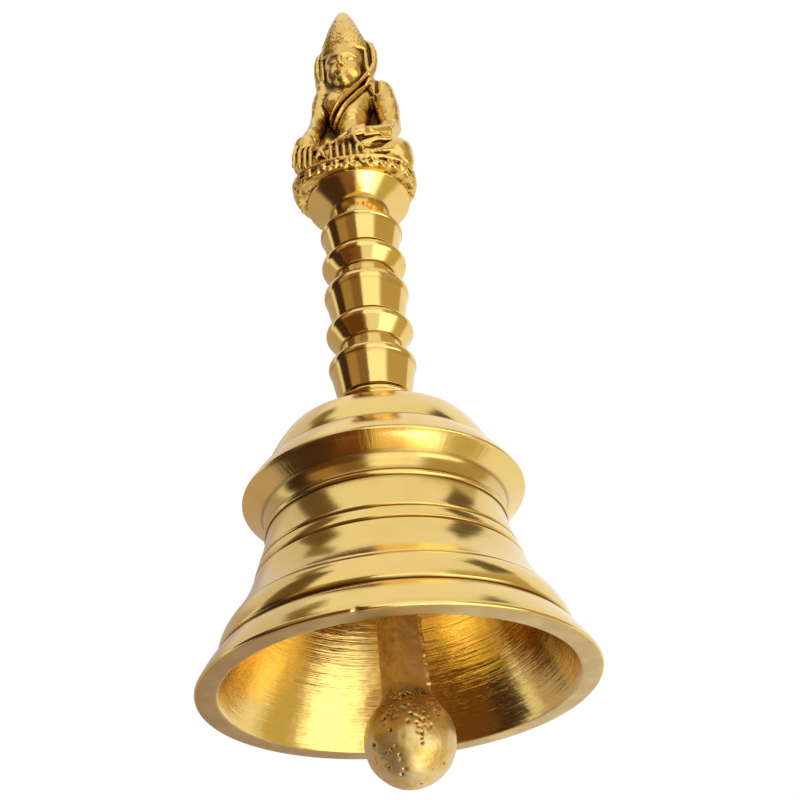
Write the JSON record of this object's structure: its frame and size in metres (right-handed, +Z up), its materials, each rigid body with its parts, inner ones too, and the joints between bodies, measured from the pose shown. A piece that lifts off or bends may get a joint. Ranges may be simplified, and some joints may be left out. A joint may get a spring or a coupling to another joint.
{
  "type": "brass puja bell",
  "caption": "Brass hand bell with a turned handle, a cast seated figure as finial and a hanging ball clapper.",
  "frame": {"origin": "centre of the mouth, on the plane of the lip", "axes": "+Z runs up the bell's axis towards the handle and the finial; the seated figure faces -Y"},
  "size_m": [0.07, 0.07, 0.1906],
  "materials": {
    "polished_brass": "turned and polished outside, with fine lathe lines",
    "handle_brass": "turned and polished",
    "cast_brass": "fine cast skin with brown patina in the recesses",
    "rough_brass": "rough as-cast skin with pits and flash",
    "fastener_brass": "plain machined, dull",
    "wire_brass": "drawn wire, dull"
  },
  "bodies": {
    "bell": {"bell_shell": "polished_brass", "handle_stem": "handle_brass", "finial_figure": "cast_brass", "finial_stud": "fastener_brass", "eye_stud": "fastener_brass", "crown_washer": "fastener_brass", "crown_nut": "fastener_brass"},
    "link": {"clapper_link": "wire_brass"},
    "clapper": {"clapper": "rough_brass"}
  },
  "joints": [
    {"name": "link_swing", "type": "hinge", "parent": "bell", "child": "link", "pos_m": [0, 0, 0.04295], "axis": [1, 0, 0], "range_deg": [-25, 25]},
    {"name": "clapper_sway", "type": "hinge", "parent": "link", "child": "clapper", "pos_m": [0, 0, 0.03935], "axis": [0, 1, 0], "range_deg": [-9, 9]}
  ]
}
